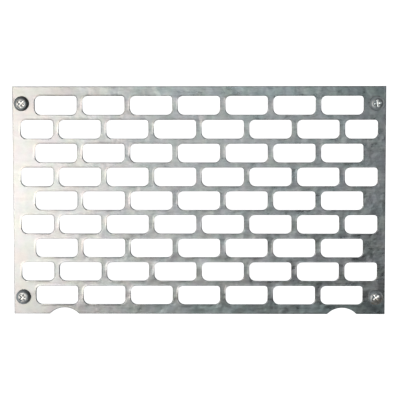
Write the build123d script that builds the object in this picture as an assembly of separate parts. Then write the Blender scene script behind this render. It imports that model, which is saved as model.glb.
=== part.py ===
from build123d import *
import os
from math import asin, cos, sin

# Perforated mounting sheet: zinc-coated steel with staggered rounded slots,
# lying face up on the tips of its four corner screws.
# Millimetres. +X runs along the long side, +Y across the sheet towards its plain
# long edge, +Z up. The origin is on the floor under the middle of the sheet.

# ---- the sheet ----
SHEET_X = 195.5          # long side
SHEET_Y = 120.0          # short side
SHEET_T = 1.5            # gauge
ROLL = 0.45              # round that the punch draws on the face it enters

# ---- the slots: a 25 x 12.5 module, every second row shifted by half a pitch ----
PITCH_X = 25.0
PITCH_Y = 12.5
ROWS = 9
SLOT_X = 22.0            # leaves webs of 3.0
SLOT_Y = 9.8             # leaves webs of 2.7
# the punch is not ground alike at its four corners (seen from above)
R_UPPER_RIGHT, R_UPPER_LEFT, R_LOWER_LEFT, R_LOWER_RIGHT = 1.6, 2.7, 3.3, 2.8
FULL_ODD = 7             # slots in rows 1, 3, 5, 7, 9
FULL_EVEN = 6            # full slots in rows 2, 4, 6, 8
SHORT_X = 17.0           # the short slot that closes each even row at both ends
SHORT_AT = 85.0          # its centre from the middle of the sheet

# ---- round notches in the lower long edge ----
NOTCH_R = 10.5
NOTCH_DEPTH = 3.3
NOTCH_AT = (-71.2, 75.2)

# ---- the corner screws, M4 x 8, pan head, cross recess ----
SCREW_X = 92.9           # from the middle of the sheet
SCREW_Y = 51.0
THREAD_D = 4.0
THREAD_PITCH_D = 3.545   # where the screw and the tapped sheet meet, thread in thread
THREAD_LEN = 8.0         # under the head
TIP_CHAMFER = 0.45
HEAD_D = 7.8
HEAD_H = 3.0
HEAD_SIDE = 1.15         # height of the head's upright side
HEAD_EDGE_R = 0.35       # small round between the side and the dome
RECESS_SPAN = 4.4        # tip to tip of the cross at the top of the head
RECESS_WING = 1.15       # width of a wing at the top of the head
RECESS_CORE_D = 2.5      # round core of the cross
RECESS_DEPTH = 2.2
RECESS_TAPER = 9.0       # degrees, each wall
TURNS = {"screw_top_left": 12.0, "screw_top_right": 31.0,
         "screw_bottom_left": 47.0, "screw_bottom_right": 35.0}

# ---- heights ----
BACK_Z = THREAD_LEN - SHEET_T      # underside of the sheet
FACE_Z = THREAD_LEN                # upper face, under the screw heads


def slot_places():
    """Centres of the full slots and of the short end slots."""
    full, short = [], []
    for row in range(ROWS):
        y = ((ROWS - 1) / 2 - row) * PITCH_Y
        count = FULL_ODD if row % 2 == 0 else FULL_EVEN
        full += [((i - (count - 1) / 2) * PITCH_X, y) for i in range(count)]
        if row % 2:
            short += [(-SHORT_AT, y), (SHORT_AT, y)]
    return full, short


def slot(width):
    """One slot's outline, centred, with its four corner radii."""
    with BuildSketch() as outline:
        Rectangle(width, SLOT_Y)
        for x, y, r in ((1, 1, R_UPPER_RIGHT), (-1, 1, R_UPPER_LEFT),
                        (-1, -1, R_LOWER_LEFT), (1, -1, R_LOWER_RIGHT)):
            corner = outline.vertices().sort_by_distance((x * width, y * width))[0]
            fillet(corner, radius=r)
    return outline.sketch


def make_sheet():
    full, short = slot_places()
    corners = [(i * SCREW_X, j * SCREW_Y) for i in (-1, 1) for j in (-1, 1)]
    notches = [(x, -SHEET_Y / 2 + NOTCH_DEPTH - NOTCH_R) for x in NOTCH_AT]
    with BuildPart() as sheet:
        with BuildSketch(Plane.XY.offset(BACK_Z)):
            Rectangle(SHEET_X, SHEET_Y)
            with Locations(*full):
                add(slot(SLOT_X), mode=Mode.SUBTRACT)
            with Locations(*short):
                add(slot(SHORT_X), mode=Mode.SUBTRACT)
            with Locations(*corners):
                Circle(THREAD_PITCH_D / 2, mode=Mode.SUBTRACT)
            with Locations(*notches):
                Circle(NOTCH_R, mode=Mode.SUBTRACT)
        extrude(amount=SHEET_T)
        # the upper rims of the outline and of the slots; the tapped holes stay sharp
        face = sheet.faces().sort_by(Axis.Z)[-1]
        rims = [e for e in face.edges()
                if not (e.geom_type == GeomType.CIRCLE
                        and abs(e.radius - THREAD_PITCH_D / 2) < 1e-6)]
        fillet(rims, radius=ROLL)
    return sheet.part


def make_screw(turn):
    """A pan-head screw with its head seated on z = 0 and its tip at z = -THREAD_LEN."""
    r, neck_r, head_r = THREAD_D / 2, THREAD_PITCH_D / 2, HEAD_D / 2
    tip_r = r - TIP_CHAMFER
    # the dome is one arc from the top of the side to the crown
    rise = HEAD_H - HEAD_SIDE
    dome_r = (head_r ** 2 + rise ** 2) / (2 * rise)
    half = asin(head_r / dome_r) / 2
    mid = (dome_r * sin(half), HEAD_H - dome_r * (1 - cos(half)))
    with BuildPart() as screw:
        with BuildSketch(Plane.XZ):
            with BuildLine():
                Polyline((0, HEAD_H), (0, -THREAD_LEN), (tip_r, -THREAD_LEN),
                         (r, -THREAD_LEN + TIP_CHAMFER), (r, -SHEET_T),
                         (neck_r, -SHEET_T), (neck_r, 0), (head_r, 0),
                         (head_r, HEAD_SIDE))
                ThreePointArc((head_r, HEAD_SIDE), mid, (0, HEAD_H))
            make_face()
        revolve(axis=Axis.Z)
        side = [e for e in screw.edges().filter_by(GeomType.CIRCLE)
                if abs(e.radius - head_r) < 1e-6 and e.center().Z > 0.5 * HEAD_SIDE]
        fillet(side, radius=HEAD_EDGE_R)
        # cross recess: two crossed wings and a round core, all tapering inwards
        with BuildSketch(Plane.XY.offset(HEAD_H)):
            with PolarLocations(0, 2, start_angle=turn, angular_range=180):
                Rectangle(RECESS_SPAN, RECESS_WING)
            Circle(RECESS_CORE_D / 2)
        extrude(amount=-RECESS_DEPTH, taper=RECESS_TAPER, mode=Mode.SUBTRACT)
    return screw.part


os.makedirs("parts", exist_ok=True)
export_step(make_sheet(), "parts/perforated_sheet.step")
PLACES = {"screw_top_left": (-SCREW_X, SCREW_Y), "screw_top_right": (SCREW_X, SCREW_Y),
          "screw_bottom_left": (-SCREW_X, -SCREW_Y), "screw_bottom_right": (SCREW_X, -SCREW_Y)}
for name, (x, y) in PLACES.items():
    export_step(Pos(x, y, FACE_Z) * make_screw(TURNS[name]), f"parts/{name}.step")
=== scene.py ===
import math

import bpy
from mathutils import Matrix, Vector
from mathutils.geometry import delaunay_2d_cdt


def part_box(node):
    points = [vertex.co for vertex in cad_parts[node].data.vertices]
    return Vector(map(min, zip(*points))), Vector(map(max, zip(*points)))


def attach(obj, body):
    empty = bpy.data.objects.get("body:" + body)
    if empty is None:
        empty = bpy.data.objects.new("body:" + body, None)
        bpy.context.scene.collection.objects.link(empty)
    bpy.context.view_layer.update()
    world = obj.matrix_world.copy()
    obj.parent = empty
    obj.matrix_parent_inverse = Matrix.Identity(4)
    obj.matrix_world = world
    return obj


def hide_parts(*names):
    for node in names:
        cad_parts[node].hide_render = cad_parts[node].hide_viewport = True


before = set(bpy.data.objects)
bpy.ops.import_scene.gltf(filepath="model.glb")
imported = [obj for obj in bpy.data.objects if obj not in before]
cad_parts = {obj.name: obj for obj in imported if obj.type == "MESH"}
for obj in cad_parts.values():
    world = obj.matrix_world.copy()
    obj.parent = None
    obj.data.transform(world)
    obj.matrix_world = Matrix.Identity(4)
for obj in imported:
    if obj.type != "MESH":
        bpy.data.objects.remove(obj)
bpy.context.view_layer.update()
scene = bpy.context.scene

# ------------------------------------------------------------------ sizes, millimetres
MM = 0.001
lo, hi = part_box("perforated_sheet")
HALF_X, HALF_Y = hi.x / MM, hi.y / MM      # 97.75 and 60
BACK_Z, FACE_Z = lo.z / MM, hi.z / MM      # 6.5 and 8.0
PITCH_X, PITCH_Y, ROWS = 25.0, 12.5, 9
SLOT_X, SLOT_Y, SHORT_X, SHORT_AT = 22.0, 9.8, 17.0, 85.0
CORNERS = (1.6, 2.7, 3.3, 2.8)             # upper right, upper left, lower left, lower right
NOTCH_R, NOTCH_DEPTH, NOTCH_AT = 10.5, 3.3, (-71.2, 75.2)
NECK_R = 1.7725                            # where screw and sheet meet, thread in thread
ROLL = 0.45                                # round that the punch draws at a slot
EDGE_ROLL = 0.30                           # round of the sheared outline
LIP_W = 1.20                               # widest reach of the lip along a slot's upper edge
BURR = 0.06                                # small break on the outline's back


# ------------------------------------------------------------------ the sheet's own mesh
def slot_outline(cx, cy, w, grow):
    """Counter-clockwise outline of a slot, moved outwards by grow."""
    pts = []
    for k, (sx, sy) in enumerate(((1, 1), (-1, 1), (-1, -1), (1, -1))):
        r = CORNERS[k]
        ox, oy = cx + sx * (w / 2 - r), cy + sy * (SLOT_Y / 2 - r)
        seg = 10
        for i in range(seg + 1):
            a = math.radians(90 * k + 90 * i / seg)
            pts.append((ox + (r + grow) * math.cos(a), oy + (r + grow) * math.sin(a)))
    return pts


def slot_places():
    out = []
    for row in range(ROWS):
        y = ((ROWS - 1) / 2 - row) * PITCH_Y
        count = 7 if row % 2 == 0 else 6
        out += [((i - (count - 1) / 2) * PITCH_X, y, SLOT_X) for i in range(count)]
        if row % 2:
            out += [(-SHORT_AT, y, SHORT_X), (SHORT_AT, y, SHORT_X)]
    return out


def outer_outline(inset):
    """The sheet's outline moved inwards by inset, counter-clockwise from the lower left corner."""
    x, y = HALF_X - inset, HALF_Y - inset
    pts = [(-x, -y)]
    for cx in NOTCH_AT:
        cy = -HALF_Y + NOTCH_DEPTH - NOTCH_R
        r = NOTCH_R + inset
        half = math.acos((-y - cy) / r)
        n = 40
        for i in range(n + 1):
            a = math.pi / 2 + half - 2 * half * i / n
            pts.append((cx + r * math.cos(a), cy + r * math.sin(a)))
    pts += [(x, -y), (x, y), (-x, y)]
    return pts


def ring_outline(cx, cy, r, n=48):
    return [(cx + r * math.cos(2 * math.pi * i / n), cy + r * math.sin(2 * math.pi * i / n)) for i in range(n)]


def point_inside(x, y, poly):
    hit = False
    for (ax, ay), (bx, by) in zip(poly, poly[1:] + poly[:1]):
        if (ay > y) != (by > y) and x < ax + (y - ay) * (bx - ax) / (by - ay):
            hit = not hit
    return hit


def lip_height(d, c):
    """Height of the lip at distance d from the slot's wall; c runs from -1 at the slot's left to 1 at its right."""
    width, height = 0.93 - 0.27 * c, 0.034 - 0.016 * c
    t = d / width
    if t >= 1.0:
        return 0.0
    return height * min(1.0, ((1.0 - t) / 0.88) ** 1.25)


def roll_drop(d, r=0.38):
    """How far the face has rolled down at distance d from the wall, where a slot's corner is drawn in."""
    return 0.0 if d >= r else r - math.sqrt(r * r - (r - d) ** 2)


def corner_rolls(first):
    """For each point of a slot's outline, how much of the roll it has: the two lower corners are drawn in."""
    out = []
    for k in range(4):
        for i in range(11):
            q = min(1.0, 2.2 * math.sin(math.pi * i / 10)) if k >= 2 else 0.0
            if first and ((k == 1 and i >= 5) or (k == 2 and i <= 5)):
                q = 1.0 if k == 2 else (i - 4) / 6
            out.append(q)
    return out


def build_sheet(screw_places):
    verts, rims, faces, mats = [], [], [], []

    def ring(points, z, rim):
        start = len(verts)
        verts.extend((px, py, z) for px, py in points)
        rims.extend([rim] * len(points))
        return list(range(start, start + len(points)))

    def band(a, b, mat, flip):
        n = len(a)
        for i in range(n):
            j = (i + 1) % n
            q = (a[i], a[j], b[j], b[i])
            faces.append(q if not flip else q[::-1])
            mats.append(mat)

    # section of an edge from the upper face to the back: distance from the wall, z, rim value (how much painted shade
    # the material puts there), material of the band above
    def round_off(r, z0, down, first, last):
        """A quarter round between the face at z0 and the wall, as points of a section."""
        out = []
        for i in range(7):
            a = math.pi / 2 * i / 6
            out.append((r * (1 - math.sin(a)), z0 - down * r * (1 - math.cos(a)), first + (last - first) * i / 6, 0))
        return out

    sheared = [(EDGE_ROLL + 0.14, FACE_Z, 0.0, 0)] + round_off(EDGE_ROLL, FACE_Z, 1, 0.0, 1.0)
    sheared += [(0.0, BACK_Z + BURR, 1.0, 1), (BURR, BACK_Z, 1.0, 1), (BURR + 0.14, BACK_Z, 0.0, 0)]
    # a slot is punched from the back: a low lip stands along its upper edge, and the roll is underneath
    punched = [(LIP_W + 0.08, FACE_Z, 0.0, 0), (LIP_W, FACE_Z, 0.0, 0)]
    for k, rim in ((0.86, 0), (0.72, 0), (0.58, 0), (0.45, 0), (0.33, 0), (0.23, 0.28), (0.14, 0.4), (0.06, 0.5)):
        punched.append((LIP_W * k, "lip", rim, 0))
    punched += [(0.02, "lip", 0.6, 0), (0.0, "lip", 0.8, 0), (0.0, BACK_Z + ROLL, 1.0, 1)]
    punched += [(d, z, rim, 0) for d, z, rim, _ in reversed(round_off(ROLL, BACK_Z, -1, 0.0, 1.0)[:-1])]
    punched.append((ROLL + 0.14, BACK_Z, 0.0, 0))
    tapped = [(0.12, FACE_Z, 0.0, 0), (0.0, FACE_Z, 0.0, 0), (0.0, BACK_Z + 0.4, 1.0, 1), (0.45, BACK_Z, 1.0, 1),
              (0.6, BACK_Z, 0.0, 0)]

    loops = [(outer_outline, False, sheared)]
    for cx, cy, w in slot_places():
        loops.append((lambda d, cx=cx, cy=cy, w=w: slot_outline(cx, cy, w, d), True, punched))
    for cx, cy in screw_places:
        loops.append((lambda d, cx=cx, cy=cy: ring_outline(cx, cy, NECK_R + 0.01 + d), True, tapped))

    top_loops, back_loops, top_holes, back_holes = [], [], [], []
    for outline, hole, section in loops:
        rings = []
        for d, z, rim, _ in section:
            pts = outline(d)
            if z == "lip":
                base = outline(0.0)
                mx = 0.5 * (min(p[0] for p in base) + max(p[0] for p in base))
                half = max(p[0] for p in base) - mx
                start = len(verts)
                dark_end = (-80 < mx < -70 and abs(base[0][1]) > 40) or (-65 < mx < -60 and base[0][1] < -30)
                for (px, py), (bx, by), (gx, gy), q in zip(pts, base, outline(1.0), corner_rolls(dark_end)):
                    c = max(-1.0, min(1.0, (px - mx) / half)) ** 3
                    # at the right and upper edges the lip is bent over into the slot, elsewhere it stands sharp
                    bent = max(0.0, min(1.0, 0.1 + 0.9 * (gx - bx + gy - by)))
                    lift = lip_height(d, c) * (1.8 if c > 0.3 and mx < -40 else 1.0)
                    if d < 0.05:
                        lift = lift * (1 - bent) - (0.06 if d == 0.0 else 0.0) * bent
                    elif d < 0.1:
                        lift *= 1 - 0.5 * bent
                    verts.append((px, py, FACE_Z + lift * (1 - q) - roll_drop(d) * q))
                    # the rim value is how much painted shade the material puts here: more on the bent-over right and
                    # upper edges and in the drawn-in corners
                    rims.append(rim * max(0.4 + 0.6 * bent, q))
                rings.append(list(range(start, start + len(pts))))
            else:
                rings.append(ring(pts, z, rim))
        for k in range(len(rings) - 1):
            band(rings[k], rings[k + 1], section[k + 1][3], not hole)
        top_loops.append(rings[0])
        back_loops.append(rings[-1])
        if hole:
            for holes, d in ((top_holes, section[0][0]), (back_holes, section[-1][0])):
                pts = outline(d)
                xs, ys = [p[0] for p in pts], [p[1] for p in pts]
                holes.append((min(xs), max(xs), min(ys), max(ys), pts))

    def in_hole(x, y, holes):
        return any(a < x < b and c < y < d and point_inside(x, y, pts) for a, b, c, d, pts in holes)

    for loops_ix, holes, up in ((top_loops, top_holes, True), (back_loops, back_holes, False)):
        pts2, edges, index = [], [], []
        for loop in loops_ix:
            s = len(pts2)
            for v in loop:
                pts2.append(Vector((verts[v][0], verts[v][1])))
                index.append(v)
            edges += [(s + i, s + (i + 1) % len(loop)) for i in range(len(loop))]
        co, _, tri, orig, _, _ = delaunay_2d_cdt(pts2, edges, [], 2, 1e-7)
        for f in tri:
            if any(not orig[i] for i in f):
                raise RuntimeError("an extra point in the sheet's face")
            cx = sum(co[i].x for i in f) / len(f)
            cy = sum(co[i].y for i in f) / len(f)
            if in_hole(cx, cy, holes):
                continue
            ids = [index[orig[i][0]] for i in f]
            area = sum(co[f[i]].x * co[f[(i + 1) % len(f)]].y - co[f[(i + 1) % len(f)]].x * co[f[i]].y
                       for i in range(len(f)))
            faces.append(tuple(ids if (area > 0) == up else ids[::-1]))
            mats.append(0)
    me = bpy.data.meshes.new("sheet_mesh")
    me.from_pydata([(x * MM, y * MM, z * MM) for x, y, z in verts], [], faces)
    me.polygons.foreach_set("material_index", mats)
    layer = me.attributes.new("rim", "FLOAT", "POINT")
    layer.data.foreach_set("value", rims)
    me.update()
    return me


# ------------------------------------------------------------------ the screws' own mesh
SCREW_N = 72


def crown(r):
    """Height of the head's upper surface above its seat: a low crown with a round shoulder."""
    flat = 2.3
    z = HEAD_TOP - r * r / (2 * 32.0)
    if r > flat:
        a, b = HEAD_R - flat, 1.9
        u = min(1.0, (r - flat) / a)
        z -= b * (1 - math.sqrt(max(0.0, 1 - u ** 2.1)))
    return z


def cross_outline(span, wing, fillet, tip, turn):
    """Outline of a cross, counter-clockwise: the ends of its wings lie at span, each wing is 2 * wing wide."""
    pts = []
    for k in range(4):
        q = []
        for i in range(5):          # two rounded corners at the end of the wing
            a = math.radians(-90 + 90 * i / 4)
            q.append((span - tip + tip * math.cos(a), -wing + tip + tip * math.sin(a)))
        for i in range(5):
            a = math.radians(90 * i / 4)
            q.append((span - tip + tip * math.cos(a), wing - tip + tip * math.sin(a)))
        for i in range(7):          # the round between this wing and the next
            a = math.radians(-90 - 90 * i / 6)
            q.append((wing + fillet + fillet * math.cos(a), wing + fillet + fillet * math.sin(a)))
        c, s = math.cos(turn + k * math.pi / 2), math.sin(turn + k * math.pi / 2)
        pts += [(x * c - y * s, x * s + y * c) for x, y in q]
    return pts


def build_screw(name, turn, phase, lean):
    """Head, cross recess, neck, thread and tip as one closed skin; (0, 0, 0) is the middle of the seat.
    The recess floor rises by lean along x and y, as an off-centre punch leaves it."""
    verts, screw_shade_values, faces = [], [], []

    def ring(points, w=0.0):
        start = len(verts)
        verts.extend(points)
        screw_shade_values.extend([w] * len(points))
        return list(range(start, start + len(points)))

    def band(a, b):
        n = len(a)
        for i in range(n):
            j = (i + 1) % n
            faces.append((a[i], b[i], b[j], a[j]))

    n = SCREW_N
    ang = [2 * math.pi * i / n for i in range(n)]

    def circle(r, z, w=0.0):
        return ring([(r * math.cos(a), r * math.sin(a), z) for a in ang], w)

    # crown, from the ring round the recess outwards
    # the last value of each ring is its painted shade and dulling: nothing on the middle of the crown, more over the
    # shoulder, where the head is darkened
    radii = [2.6, 2.78, 2.95, 3.1, 3.25, 3.38, 3.5, 3.6, 3.68, 3.75, 3.81, 3.85, 3.88, HEAD_R]
    first = circle(radii[0], crown(radii[0]), 0.25)
    prev = first
    for r in radii[1:]:
        cur = circle(r, crown(r), min(0.65, 0.25 + 0.6 * (r - radii[0])))
        band(prev, cur)
        prev = cur
    # side, seat and neck
    # the side, the seat, the neck and the thread get heavy painted shade
    for r, z, w in ((HEAD_R, 0.55, 0.65), (HEAD_R, 0.16, 0.85), (HEAD_R - 0.05, 0.05, 1.0), (HEAD_R - 0.16, 0.0, 1.0),
                    (2.6, 0.0, 1.0), (NECK_R + 0.12, 0.0, 1.0), (NECK_R, -0.12, 1.0), (NECK_R, -1.45, 1.0)):
        cur = circle(r, z, w)
        band(prev, cur)
        prev = cur
    # thread, one pitch 0.7, right handed: crest 3.96, root 3.24
    pitch, crest, root = 0.7, 1.98, 1.62
    top, tip, per = -1.55, -FACE_Z, 14
    count = int(round((top - tip) / pitch * per))
    for k in range(count + 1):
        z = top + (tip - top) * k / count
        pts = []
        for a in ang:
            # right-handed: the crest climbs towards +z as the angle grows
            f = (z / pitch - a / (2 * math.pi) + phase) % 1.0
            if f < 0.125:
                h = 1.0
            elif f < 0.42:
                h = 1 - (f - 0.125) / 0.295
            elif f < 0.705:
                h = 0.0
            else:
                h = (f - 0.705) / 0.295
            h = h * h * (3 - 2 * h)
            r = root + (crest - root) * h
            fade = min(1.0, (top - z) / 0.45)            # run-out towards the neck
            r = NECK_R + (r - NECK_R) * fade
            r = min(r, 1.52 + (z - tip))                 # chamfered tip
            pts.append((r * math.cos(a), r * math.sin(a), z))
        cur = ring(pts, 0.5)
        band(prev, cur)
        prev = cur
    cur = circle(1.0, tip)
    band(prev, cur)
    centre = ring([(0, 0, tip)])
    for i in range(n):
        faces.append((cur[i], centre[0], cur[(i + 1) % n]))

    # recess: a round mouth where the punch drew the metal in, steep walls, then a floor that falls to the middle
    loops = []
    mouth = 0.28
    for i in range(6):
        a = math.pi / 2 * i / 5
        d, out = mouth * (1 - math.cos(a)), mouth * (1 - math.sin(a))
        loops.append((2.06 + out, 0.54 + out, 0.34 - out, 0.12 + out, d, 0.15))
    depth = 0.85

    def floor_at(x, y, d):
        return max(0.5, d - lean[0] * x - lean[1] * y)

    # the recess walls get a little painted shade towards their foot
    for i in range(1, 5):
        d = mouth + (depth - mouth) * i / 4
        loops.append((2.06 - (d - mouth) * 0.25, 0.54 - (d - mouth) * 0.12, 0.34, 0.12, d, 0.15 + 0.25 * i / 4))
    rings = []
    for k, (span, wing, fillet, tip_r, d, w) in enumerate(loops):
        pts = []
        for x, y in cross_outline(span, wing, fillet, tip_r, turn):
            dd = d if k < 6 else mouth + (floor_at(x, y, depth) - mouth) * (k - 5) / 4
            pts.append((x, y, crown(math.hypot(x, y)) - dd))
        rings.append(ring(pts, w))
    for a, b in zip(rings, rings[1:]):
        band(b, a)
    last = rings[-1]
    for s, d, w in ((0.86, 0.88, 0.1), (0.62, 0.90, 0.04), (0.4, 0.92, 0.04), (0.2, 0.93, 0.04)):
        cur = ring([(verts[v][0] * s, verts[v][1] * s, HEAD_TOP - floor_at(verts[v][0] * s, verts[v][1] * s, d))
                    for v in last], w)
        band(cur, rings[-1])
        rings.append(cur)
    centre = ring([(0, 0, HEAD_TOP - 0.94)], 0.04)
    m = len(rings[-1])
    for i in range(m):
        faces.append((rings[-1][i], rings[-1][(i + 1) % m], centre[0]))

    # the crown between the recess and the first ring
    mouth_ring = rings[0]
    outline = [(verts[v][0], verts[v][1]) for v in mouth_ring]
    pts2 = [Vector((verts[v][0], verts[v][1])) for v in first] + [Vector(p) for p in outline]
    index = list(first) + list(mouth_ring)
    edges = [(i, (i + 1) % n) for i in range(n)] + [(n + i, n + (i + 1) % m) for i in range(m)]
    for r in (1.25, 1.55, 1.85, 2.12, 2.36):
        k = int(2 * math.pi * r / 0.22)
        for i in range(k):
            a = 2 * math.pi * (i + 0.5 * (int(r * 10) % 2)) / k
            x, y = r * math.cos(a), r * math.sin(a)
            if point_inside(x, y, outline):
                continue
            if min((x - px) ** 2 + (y - py) ** 2 for px, py in outline) < 0.13 ** 2:
                continue
            pts2.append(Vector((x, y)))
            index.append(ring([(x, y, crown(r))], 0.25)[0])
    co, _, tri, orig, _, _ = delaunay_2d_cdt(pts2, edges, [], 2, 1e-7)
    for f in tri:
        cx, cy = sum(co[i].x for i in f) / len(f), sum(co[i].y for i in f) / len(f)
        if point_inside(cx, cy, outline):
            continue
        ids = [index[orig[i][0]] for i in f]
        area = sum(co[f[i]].x * co[f[(i + 1) % len(f)]].y - co[f[(i + 1) % len(f)]].x * co[f[i]].y
                   for i in range(len(f)))
        faces.append(tuple(ids if area > 0 else ids[::-1]))
    me = bpy.data.meshes.new(name)
    return me, verts, screw_shade_values, faces


# ------------------------------------------------------------------ node helpers
def new_mat(name):
    m = bpy.data.materials.new(name)
    m.use_nodes = True
    nt = m.node_tree
    nt.nodes.clear()
    return m, nt


class NT:
    """Small helper to lay out nodes."""

    def __init__(self, nt):
        self.nt = nt

    def n(self, kind, **kw):
        node = self.nt.nodes.new(kind)
        for k, v in kw.items():
            setattr(node, k, v)
        return node

    def link(self, a, b):
        self.nt.links.new(a, b)

    def put(self, sock, v):
        if hasattr(v, "is_linked") or hasattr(v, "node"):
            self.link(v, sock)
        else:
            sock.default_value = v

    def math(self, op, a, b=0.0, c=None, clamp=False):
        m = self.n("ShaderNodeMath", operation=op, use_clamp=clamp)
        self.put(m.inputs[0], a)
        self.put(m.inputs[1], b)
        if c is not None:
            self.put(m.inputs[2], c)
        return m.outputs[0]

    def maprange(self, v, a, b, c, d, smooth=False):
        m = self.n("ShaderNodeMapRange", clamp=True)
        m.interpolation_type = "SMOOTHSTEP" if smooth else "LINEAR"
        self.put(m.inputs[0], v)
        for i, x in zip((1, 2, 3, 4), (a, b, c, d)):
            self.put(m.inputs[i], x)
        return m.outputs[0]

    def noise(self, vec, scale, detail=3.0, rough=0.5, dist=0.0, w=None):
        m = self.n("ShaderNodeTexNoise", noise_dimensions="3D" if w is None else "4D")
        self.put(m.inputs["Vector"], vec)
        if w is not None:
            m.inputs["W"].default_value = w
        m.inputs["Scale"].default_value = scale
        m.inputs["Detail"].default_value = detail
        m.inputs["Roughness"].default_value = rough
        m.inputs["Distortion"].default_value = dist
        return m

    def mapping(self, vec, scale=(1, 1, 1), rot=(0, 0, 0), loc=(0, 0, 0)):
        m = self.n("ShaderNodeMapping")
        self.put(m.inputs["Vector"], vec)
        m.inputs["Scale"].default_value = scale
        m.inputs["Rotation"].default_value = rot
        m.inputs["Location"].default_value = loc
        return m.outputs[0]

    def mix(self, fac, a, b, blend="MIX"):
        m = self.n("ShaderNodeMix", data_type="RGBA", blend_type=blend)
        self.put(m.inputs[0], fac)
        self.put(m.inputs[6], a)
        self.put(m.inputs[7], b)
        return m.outputs[2]


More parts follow.
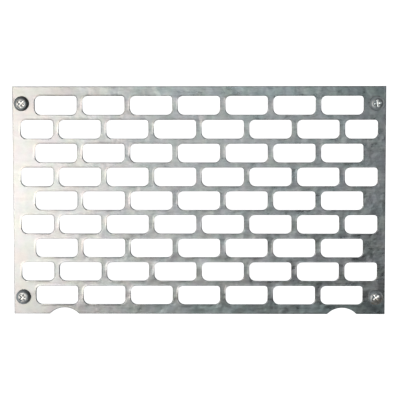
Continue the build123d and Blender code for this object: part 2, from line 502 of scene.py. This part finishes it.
# ------------------------------------------------------------------ materials
def zinc_sheet(name):
    """Zinc-coated sheet: cloudy patches, rolling lines, a fine grain, and duller metal on the rolled rims, with
    painted shade darkening them.
    """
    m, nt = new_mat(name)
    t = NT(nt)
    out = t.n("ShaderNodeOutputMaterial")
    bsdf = t.n("ShaderNodeBsdfPrincipled")
    t.link(bsdf.outputs[0], out.inputs[0])
    pos = t.n("ShaderNodeTexCoord").outputs["Object"]
    warp = t.noise(pos, 160.0, 2.0, 0.5)
    bent = t.n("ShaderNodeVectorMath", operation="MULTIPLY_ADD")
    t.link(warp.outputs[1], bent.inputs[0])
    bent.inputs[1].default_value = (0.004, 0.004, 0.004)
    t.link(pos, bent.inputs[2])
    pos2 = bent.outputs[0]
    cloud = t.noise(pos2, 95.0, 3.0, 0.55)                                  # 10 mm clouds
    patch = t.noise(t.mapping(pos2, (0.75, 1.0, 1.0)), 300.0, 4.0, 0.60, 0.3)   # 3 mm mottle
    cells = t.n("ShaderNodeTexVoronoi", feature="SMOOTH_F1")
    t.link(pos2, cells.inputs["Vector"])
    cells.inputs["Scale"].default_value = 260.0
    cells.inputs["Smoothness"].default_value = 0.35
    spangle = t.n("ShaderNodeSeparateColor")
    t.link(cells.outputs["Color"], spangle.inputs[0])
    fine = t.noise(t.mapping(pos, (0.35, 1.0, 1.0)), 1500.0, 3.0, 0.6)
    streak = t.noise(t.mapping(pos, (0.05, 1.0, 1.0)), 620.0, 3.0, 0.55)
    hue = t.noise(pos, 150.0, 2.0, 0.5)
    hue2 = t.noise(pos, 115.0, 2.0, 0.5, w=4.0)
    v = t.math("MULTIPLY_ADD", patch.outputs[0], 0.75, t.math("MULTIPLY", cloud.outputs[0], 0.76))
    v = t.math("MULTIPLY_ADD", fine.outputs[0], 0.32, v)
    v = t.math("MULTIPLY_ADD", spangle.outputs[0], 0.12, v)
    v = t.math("MULTIPLY_ADD", streak.outputs[0], 0.54, v)
    # the coating is calmer towards the sheet's left end and cloudier towards its right end
    side = t.n("ShaderNodeSeparateXYZ")
    t.link(pos, side.inputs[0])
    calm = t.maprange(side.outputs[0], -0.092, -0.040, 0.18, 0.62, True)
    calm = t.math("ADD", calm, t.maprange(side.outputs[0], -0.02, 0.085, 0.0, 0.42, True))
    u = t.maprange(v, 0.97, 1.47, -0.5, 0.5)
    u = t.math("MULTIPLY_ADD", u, calm, 0.5)
    base = t.mix(u, (SHEET_DARK[0], SHEET_DARK[1], SHEET_DARK[2], 1),
                 (SHEET_LIGHT[0], SHEET_LIGHT[1], SHEET_LIGHT[2], 1))
    tint = t.mix(t.maprange(hue.outputs[0], 0.36, 0.64, 0.0, 1.0),
                 (0.95, 1.0, 0.982, 1), (1.0, 0.972, 1.0, 1))
    tint2 = t.mix(t.maprange(hue2.outputs[0], 0.36, 0.64, 0.0, 1.0),
                  (1.0, 0.996, 0.95, 1), (0.97, 0.986, 1.0, 1))
    base = t.mix(1.0, base, tint, "MULTIPLY")
    base = t.mix(1.0, base, tint2, "MULTIPLY")
    # painted shade, slight and cloudy, along the notched edge and in the corner diagonally across from it
    gone = t.n("ShaderNodeVectorMath", operation="DISTANCE")
    t.link(pos, gone.inputs[0])
    gone.inputs[1].default_value = (HALF_X * MM, HALF_Y * MM, FACE_Z * MM)
    corner = t.maprange(gone.outputs["Value"], 0.010, 0.034, 0.18, 0.0, True)
    edge = t.math("MULTIPLY", t.maprange(side.outputs[1], -0.0500, -0.0565, 0.0, 0.17, True),
                  t.maprange(side.outputs[0], -0.090, -0.060, 0.0, 1.0, True))
    edge = t.math("MULTIPLY", edge, t.maprange(side.outputs[0], -0.035, 0.0, 1.0, 0.3, True))
    cloudy_edge_shade = t.math("MULTIPLY", t.math("ADD", corner, edge), t.maprange(cloud.outputs[0], 0.3, 0.6, 0.6, 1.15))
    base = t.mix(cloudy_edge_shade, base, (0.05, 0.055, 0.07, 1))
    # a painted grey shade between the upper left screw and the sheet's end
    head_side_shade = t.n("ShaderNodeVectorMath", operation="DISTANCE")
    t.link(pos, head_side_shade.inputs[0])
    head_side_shade.inputs[1].default_value = (-0.0971, 0.0525, FACE_Z * MM)
    base = t.mix(t.maprange(head_side_shade.outputs["Value"], 0.0007, 0.0021, 0.55, 0.0, True), base, (0.30, 0.305, 0.31, 1))
    # a faint green cast on the two long margins, fading out to the left
    margin = t.math("MULTIPLY", t.maprange(t.math("ABSOLUTE", side.outputs[1]), 0.0515, 0.0560, 0.0, 1.0, True),
                    t.maprange(side.outputs[0], -0.070, 0.0, 0.0, 1.0, True))
    base = t.mix(margin, base, t.mix(t.maprange(side.outputs[1], -0.01, 0.01, 0.0, 1.0, True),
                                     (0.90, 1.0, 1.0, 1), (0.94, 1.0, 0.992, 1)), "MULTIPLY")
    # painted shade: the rim value darkens the base colour on the rolled rims and slot edges, and the same mask makes
    # them duller
    rim = t.n("ShaderNodeAttribute", attribute_type="GEOMETRY", attribute_name="rim").outputs["Fac"]
    rim_shade_and_dulling = t.maprange(rim, 0.25, 0.7, 0.0, 1.0, True)
    base = t.mix(t.math("MULTIPLY", rim_shade_and_dulling, t.maprange(hue.outputs[0], 0.4, 0.6, 0.25, 0.6)), base,
                 (0.25, 0.255, 0.26, 1))
    t.link(base, bsdf.inputs["Base Color"])
    bsdf.inputs["Metallic"].default_value = 1.0
    r = t.math("MULTIPLY_ADD", u, 0.07, SHEET_ROUGH - 0.035 - 0.03)
    r = t.math("MULTIPLY_ADD", streak.outputs[0], 0.06, r)
    r = t.math("MULTIPLY_ADD", rim_shade_and_dulling, 0.10, r)
    t.link(r, bsdf.inputs["Roughness"])
    wave = t.noise(pos2, 185.0, 2.0, 0.5)
    bump = t.n("ShaderNodeBump")
    bump.inputs["Strength"].default_value = 1.0
    bump.inputs["Distance"].default_value = 0.00013
    h = t.math("MULTIPLY_ADD", fine.outputs[0], 0.03, wave.outputs[0])
    h = t.math("MULTIPLY_ADD", patch.outputs[0], 0.28, h)
    h = t.math("MULTIPLY_ADD", streak.outputs[0], 0.12, h)
    h = t.math("MULTIPLY", h, t.math("MINIMUM", t.math("MULTIPLY", calm, 1.6), 1.3))
    t.link(h, bump.inputs["Height"])
    t.link(bump.outputs[0], bsdf.inputs["Normal"])
    return m


def cut_edge(name):
    """The punched wall: a burnished land above, the torn fracture below, both bare steel."""
    m, nt = new_mat(name)
    t = NT(nt)
    out = t.n("ShaderNodeOutputMaterial")
    bsdf = t.n("ShaderNodeBsdfPrincipled")
    t.link(bsdf.outputs[0], out.inputs[0])
    pos = t.n("ShaderNodeTexCoord").outputs["Object"]
    sep = t.n("ShaderNodeSeparateXYZ")
    t.link(pos, sep.inputs[0])
    grain = t.noise(t.mapping(pos, (1, 1, 0.25)), 2600.0, 3.0, 0.6)
    z = t.math("MULTIPLY_ADD", grain.outputs[0], 0.0005, sep.outputs[2])
    land = t.maprange(z, (BACK_Z + 0.55) * MM + 0.00015, (BACK_Z + 0.7) * MM + 0.00035, 0.0, 1.0, True)
    base = t.mix(land, (0.17, 0.173, 0.178, 1), (0.40, 0.405, 0.41, 1))
    base = t.mix(t.maprange(grain.outputs[0], 0.3, 0.7, 0.0, 0.5), base, (0.14, 0.14, 0.143, 1))
    t.link(base, bsdf.inputs["Base Color"])
    bsdf.inputs["Metallic"].default_value = 1.0
    t.link(t.math("MULTIPLY_ADD", land, -0.22, 0.6), bsdf.inputs["Roughness"])
    bump = t.n("ShaderNodeBump")
    bump.inputs["Strength"].default_value = 0.5
    bump.inputs["Distance"].default_value = 0.00003
    t.link(grain.outputs[0], bump.inputs["Height"])
    t.link(bump.outputs[0], bsdf.inputs["Normal"])
    return m


def zinc_screw(name):
    """Bright zinc plating, dulled on the crown, with painted shade on the shoulder, at the foot of the head, on the
    thread and a little in the recess.
    """
    m, nt = new_mat(name)
    t = NT(nt)
    out = t.n("ShaderNodeOutputMaterial")
    bsdf = t.n("ShaderNodeBsdfPrincipled")
    t.link(bsdf.outputs[0], out.inputs[0])
    pos = t.n("ShaderNodeTexCoord").outputs["Object"]
    a = t.noise(pos, 900.0, 4.0, 0.6)
    b = t.noise(pos, 4000.0, 2.0, 0.5)
    base = t.mix(t.maprange(a.outputs[0], 0.3, 0.7, 0.0, 1.0), (0.70, 0.762, 0.768, 1), (0.86, 0.912, 0.92, 1))
    shade_and_dulling = t.n("ShaderNodeAttribute", attribute_type="GEOMETRY", attribute_name="shade_and_dulling").outputs["Fac"]
    # painted shade: the base colour darkens where this value passes 0.35, on the shoulder, at the foot of the head and
    # on the thread; the value also dulls the plating
    d = t.math("MULTIPLY", t.maprange(shade_and_dulling, 0.35, 1.0, 0.0, 0.92), t.maprange(a.outputs[0], 0.2, 0.6, 0.7, 1.0))
    base = t.mix(d, base, (0.08, 0.078, 0.07, 1))
    stain = t.n("ShaderNodeAttribute", attribute_type="GEOMETRY", attribute_name="stain").outputs["Fac"]
    stained = t.math("MULTIPLY", stain, t.maprange(a.outputs[0], 0.35, 0.6, 0.45, 1.0))
    base = t.mix(stained, base, (0.34, 0.30, 0.235, 1))
    t.link(base, bsdf.inputs["Base Color"])
    bsdf.inputs["Metallic"].default_value = 1.0
    r = t.math("MULTIPLY_ADD", a.outputs[0], 0.14, 0.20)
    r = t.math("MULTIPLY_ADD", stained, 0.25, r)
    t.link(t.math("MULTIPLY_ADD", shade_and_dulling, 0.38, r), bsdf.inputs["Roughness"])
    dents = t.noise(pos, 1250.0, 2.0, 0.5)
    bump = t.n("ShaderNodeBump")
    bump.inputs["Strength"].default_value = 0.5
    bump.inputs["Distance"].default_value = 0.000022
    t.link(t.math("MULTIPLY_ADD", b.outputs[0], 0.12, dents.outputs[0]), bump.inputs["Height"])
    t.link(bump.outputs[0], bsdf.inputs["Normal"])
    return m


def smooth_by_angle(obj, degrees):
    me = obj.data
    me.polygons.foreach_set("use_smooth", [True] * len(me.polygons))
    me.set_sharp_from_angle(angle=math.radians(degrees))


# ------------------------------------------------------------------ the object
SHEET_ROUGH = 0.30
SHEET_DARK, SHEET_LIGHT = (0.40, 0.412, 0.416), (0.90, 0.912, 0.916)

TURNS = {"screw_top_left": 50.0, "screw_top_right": 8.0, "screw_bottom_left": 49.0, "screw_bottom_right": 38.0}
LEANS = {"screw_top_left": (0.06, 0.0), "screw_top_right": (0.125, 0.03), "screw_bottom_left": (0.065, 0.01),
         "screw_bottom_right": (0.20, -0.05)}
seats = {}
for name in TURNS:
    a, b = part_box(name)
    seats[name] = (0.5 * (a.x + b.x) / MM, 0.5 * (a.y + b.y) / MM)
    HEAD_R, HEAD_TOP = 0.5 * (b.x - a.x) / MM, b.z / MM - FACE_Z

sheet = bpy.data.objects.new("slotted_sheet", build_sheet(list(seats.values())))
scene.collection.objects.link(sheet)
smooth_by_angle(sheet, 40)
sheet.data.materials.append(zinc_sheet("zinc_coating"))
sheet.data.materials.append(cut_edge("punched_edge"))
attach(sheet, "root")
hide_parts("perforated_sheet")

plating = zinc_screw("zinc_plating")
for i, (name, turn) in enumerate(TURNS.items()):
    me, verts, shade_and_dulling, faces = build_screw("pan_" + name, math.radians(turn), 0.23 * i, LEANS[name])
    cx, cy = seats[name]
    me.from_pydata([((x + cx) * MM, (y + cy) * MM, (z + FACE_Z) * MM) for x, y, z in verts], [], faces)
    if "left" in name:                                            # painted shade over the shoulder, heaviest on the flank away from the sheet's end and towards the top
        round_it, top = (0.14, 0.22) if "top" in name else (0.0, 0.08)
        flank_shade = [round_it + 0.38 * max(0.0, x / HEAD_R) ** 1.5 + top * max(0.0, y / HEAD_R) ** 2 for x, y, z in verts]
        reach = [max(0.0, min(1.0, (math.hypot(x, y) - 2.4) / 0.5)) if z > 0 else 0.0 for x, y, z in verts]
        shade_and_dulling = [min(1.0, d + s * w) for d, s, w in zip(shade_and_dulling, flank_shade, reach)]
    layer = me.attributes.new("shade_and_dulling", "FLOAT", "POINT")
    layer.data.foreach_set("value", shade_and_dulling)
    layer = me.attributes.new("stain", "FLOAT", "POINT")          # one screw is stained towards its lower right
    side = 0.8 if name == "screw_bottom_right" else 0.0
    layer.data.foreach_set("value", [side * max(0.0, min(1.0, (0.45 * x - 0.9 * y + 0.1) / 1.6)) for x, y, z in verts])
    me.update()
    piece = bpy.data.objects.new("pan_" + name, me)
    scene.collection.objects.link(piece)
    smooth_by_angle(piece, 50)
    me.materials.append(plating)
    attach(piece, "root")
    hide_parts(name)

# ------------------------------------------------------------------ floor
bpy.ops.mesh.primitive_plane_add(size=6.0, location=(0, 0, 0))
floor = bpy.context.object
floor.name = "floor"
fm, fnt = new_mat("pale_floor")
ft = NT(fnt)
fo = ft.n("ShaderNodeOutputMaterial")
fd = ft.n("ShaderNodeBsdfDiffuse")
fd.inputs["Color"].default_value = (0.85, 0.85, 0.85, 1)
fe = ft.n("ShaderNodeEmission")
fe.inputs["Color"].default_value = (1, 1, 1, 1)
# the floor is lit from below for the camera only: in the metal's reflections it is a dim grey
ft.link(ft.math("MULTIPLY_ADD", ft.n("ShaderNodeLightPath").outputs["Is Camera Ray"], 0.50, 0.45), fe.inputs["Strength"])
fa = ft.n("ShaderNodeAddShader")
ft.link(fd.outputs[0], fa.inputs[0])
ft.link(fe.outputs[0], fa.inputs[1])
ft.link(fa.outputs[0], fo.inputs[0])
floor.data.materials.append(fm)

# ------------------------------------------------------------------ world and lights
HORIZON, UPPER_WALL, CEILING = 0.66, 0.26, 0.012
world = bpy.data.worlds.new("studio")
scene.world = world
world.use_nodes = True
wnt = world.node_tree
wnt.nodes.clear()
wt = NT(wnt)
w_out = wt.n("ShaderNodeOutputWorld")
w_sep = wt.n("ShaderNodeSeparateXYZ")
wt.link(wt.n("ShaderNodeTexCoord").outputs["Generated"], w_sep.inputs[0])
w_room = wt.n("ShaderNodeBackground")                       # dim ceiling, lighter towards the horizon and to the left
w_room.inputs["Color"].default_value = (0.90, 0.945, 1.0, 1)
w_low = wt.math("MINIMUM", wt.maprange(w_sep.outputs[2], 0.05, 0.66, HORIZON, UPPER_WALL, True),
                wt.maprange(w_sep.outputs[2], 0.60, 0.84, 0.30, CEILING, True))
wt.link(wt.math("MULTIPLY", w_low, wt.maprange(w_sep.outputs[0], -0.8, 0.8, 1.35, 0.45, True)), w_room.inputs["Strength"])
w_back = wt.n("ShaderNodeBackground")                       # plain pale backdrop
w_back.inputs["Color"].default_value = (0.93, 0.93, 0.93, 1)
w_mix = wt.n("ShaderNodeMixShader")
wt.link(wt.n("ShaderNodeLightPath").outputs["Is Camera Ray"], w_mix.inputs[0])
wt.link(w_room.outputs[0], w_mix.inputs[1])
wt.link(w_back.outputs[0], w_mix.inputs[2])
wt.link(w_mix.outputs[0], w_out.inputs[0])


def area(name, loc, target, sx, sy, power, color):
    l = bpy.data.lights.new(name, "AREA")
    l.shape = "RECTANGLE"
    l.size, l.size_y = sx, sy
    l.energy = power
    l.color = color
    o = bpy.data.objects.new(name, l)
    scene.collection.objects.link(o)
    o.location = loc
    o.rotation_mode = "QUATERNION"
    o.rotation_quaternion = (Vector(target) - Vector(loc)).to_track_quat("-Z", "Y")
    o.visible_camera = False
    return o


area("key_low", (-0.4224, -0.2292, 1.3), (0, 0, 0), 0.2, 0.3, 0.895, (1.0, 0.88, 0.78))
area("key", (-0.4224, 0.0454, 1.3), (0, 0, 0), 0.2, 0.3, 0.82, (1.0, 0.822, 0.72))
area("fill", (-0.2527, -0.0909, 1.3), (0, 0, 0), 0.2, 0.3, 0.35, (0.819, 0.929, 1.0))
area("fill_right", (0.0681, 0.016, 1.3), (0, 0, 0), 0.2, 0.3, 0.232, (0.83, 0.94, 0.99))

# ------------------------------------------------------------------ camera
cam_data = bpy.data.cameras.new("camera")
cam = bpy.data.objects.new("camera", cam_data)
scene.collection.objects.link(cam)
scene.camera = cam
D = 0.9
pitch, yaw, roll = math.radians(-5.0), math.radians(1.4), math.radians(0.02)
cam_data.sensor_width = 36.0
cam_data.lens = 1714.0 / 400.0 * 36.0
R = Matrix.Rotation(pitch, 3, "X") @ Matrix.Rotation(yaw, 3, "Y") @ Matrix.Rotation(roll, 3, "Z")
cam.rotation_mode = "QUATERNION"
cam.rotation_quaternion = R.to_quaternion()
cam.location = Vector((0.00057, 0.00038, FACE_Z * MM)) + R @ Vector((0, 0, D))
cam_data.clip_start, cam_data.clip_end = 0.01, 20.0

# ------------------------------------------------------------------ picture settings
scene.view_settings.view_transform = "Standard"
scene.view_settings.look = "None"
scene.view_settings.exposure = 0.0
scene.view_settings.gamma = 1.0
